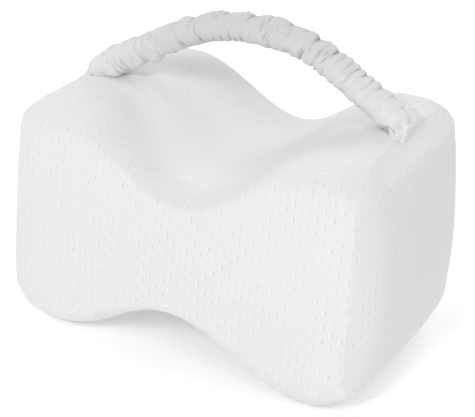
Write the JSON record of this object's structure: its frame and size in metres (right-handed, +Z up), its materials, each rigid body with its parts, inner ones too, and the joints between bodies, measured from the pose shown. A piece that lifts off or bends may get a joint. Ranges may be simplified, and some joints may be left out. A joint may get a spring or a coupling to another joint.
{
  "type": "knee pillow",
  "caption": "Contoured knee pillow with a saddle-shaped top, an arched underside and a ruched leg strap looped over the saddle.",
  "frame": {"origin": "on the resting surface, under the middle of the outline box", "axes": "+X along the length, from one end face to the other, -Y towards the front panel, +Z up through the saddle"},
  "size_m": [0.2548, 0.1664, 0.2],
  "materials": {
    "knit_cover": "white jacquard knit with small staggered dimples, matt and soft",
    "gathered_cloth": "white plush cloth, tightly gathered, matt"
  },
  "bodies": {
    "root": {"pillow_body": "knit_cover", "leg_strap": "gathered_cloth"}
  },
  "joints": []
}
